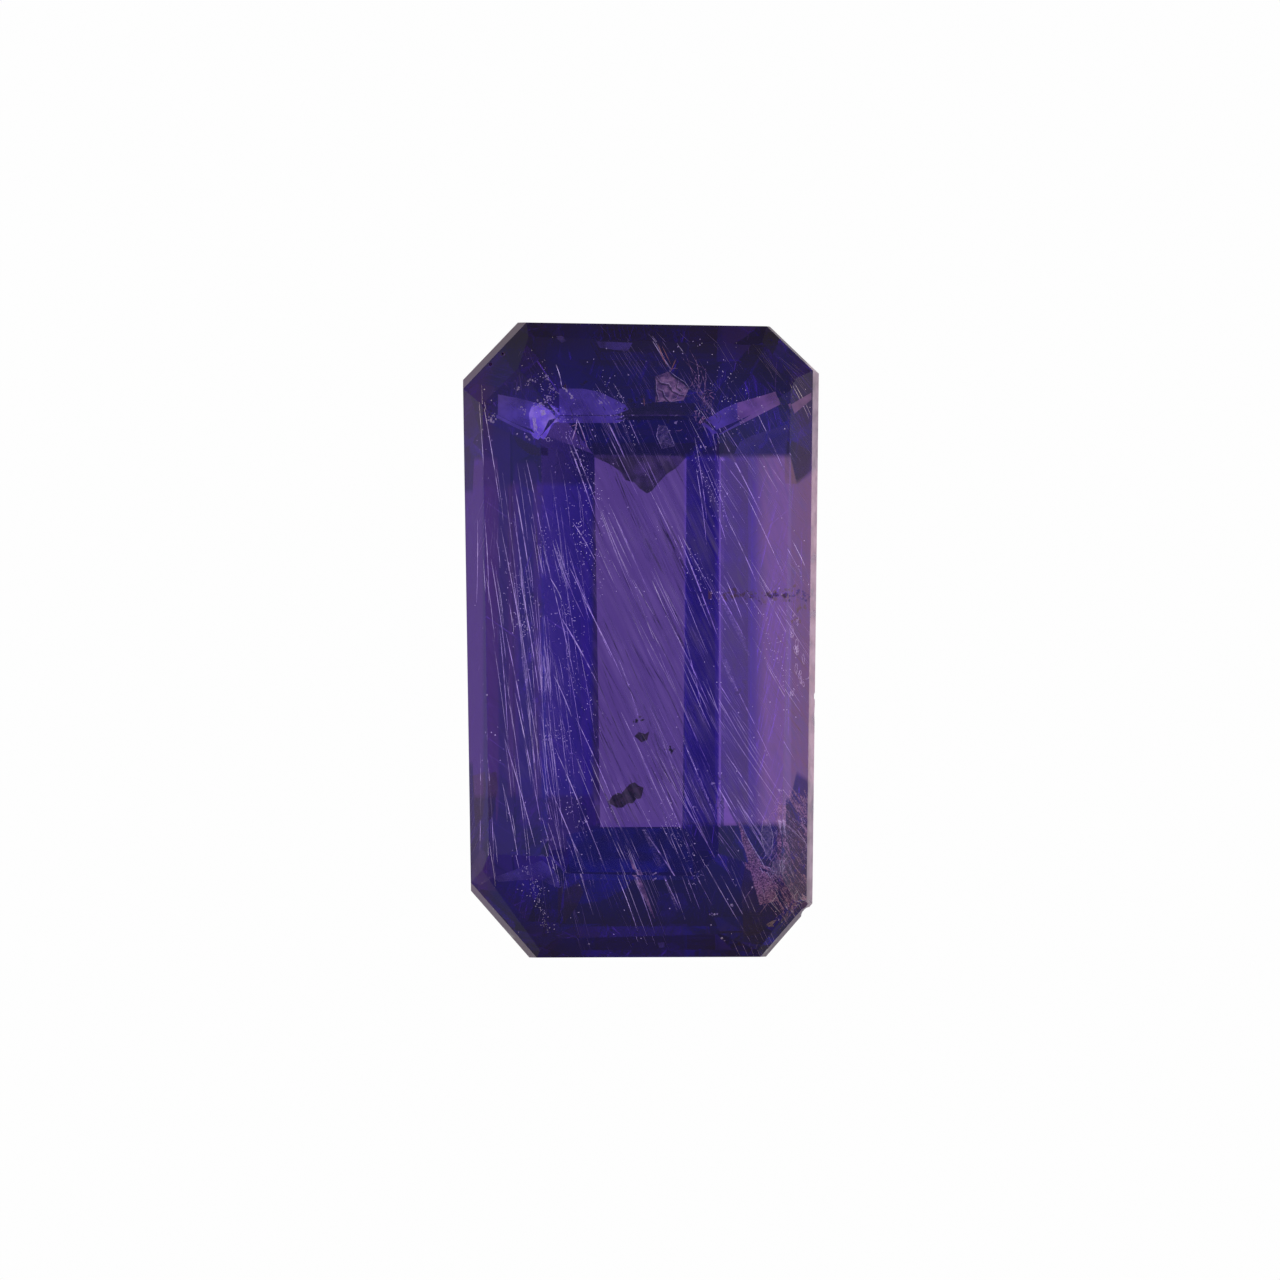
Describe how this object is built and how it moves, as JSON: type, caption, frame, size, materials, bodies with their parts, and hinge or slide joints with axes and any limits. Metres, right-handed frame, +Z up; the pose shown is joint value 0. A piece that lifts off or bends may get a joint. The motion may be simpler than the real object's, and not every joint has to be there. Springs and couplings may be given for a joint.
{
  "type": "cut sapphire gemstone",
  "caption": "Clear violet-blue cut sapphire: a long step cut with clipped corners, a flat table, a frosted girdle with small chips, and fine silk needles inside.",
  "frame": {"origin": "middle of the small flat that the stone rests on, under the middle of its outline", "axes": "+Y along the stone, +X across it, +Z up through the table"},
  "size_m": [0.005, 0.009, 0.0035],
  "materials": {
    "sapphire": "polished facets on clear violet-blue corundum, with a frosted pinkish girdle"
  },
  "bodies": {
    "root": {"cut_sapphire": "sapphire"}
  },
  "joints": []
}
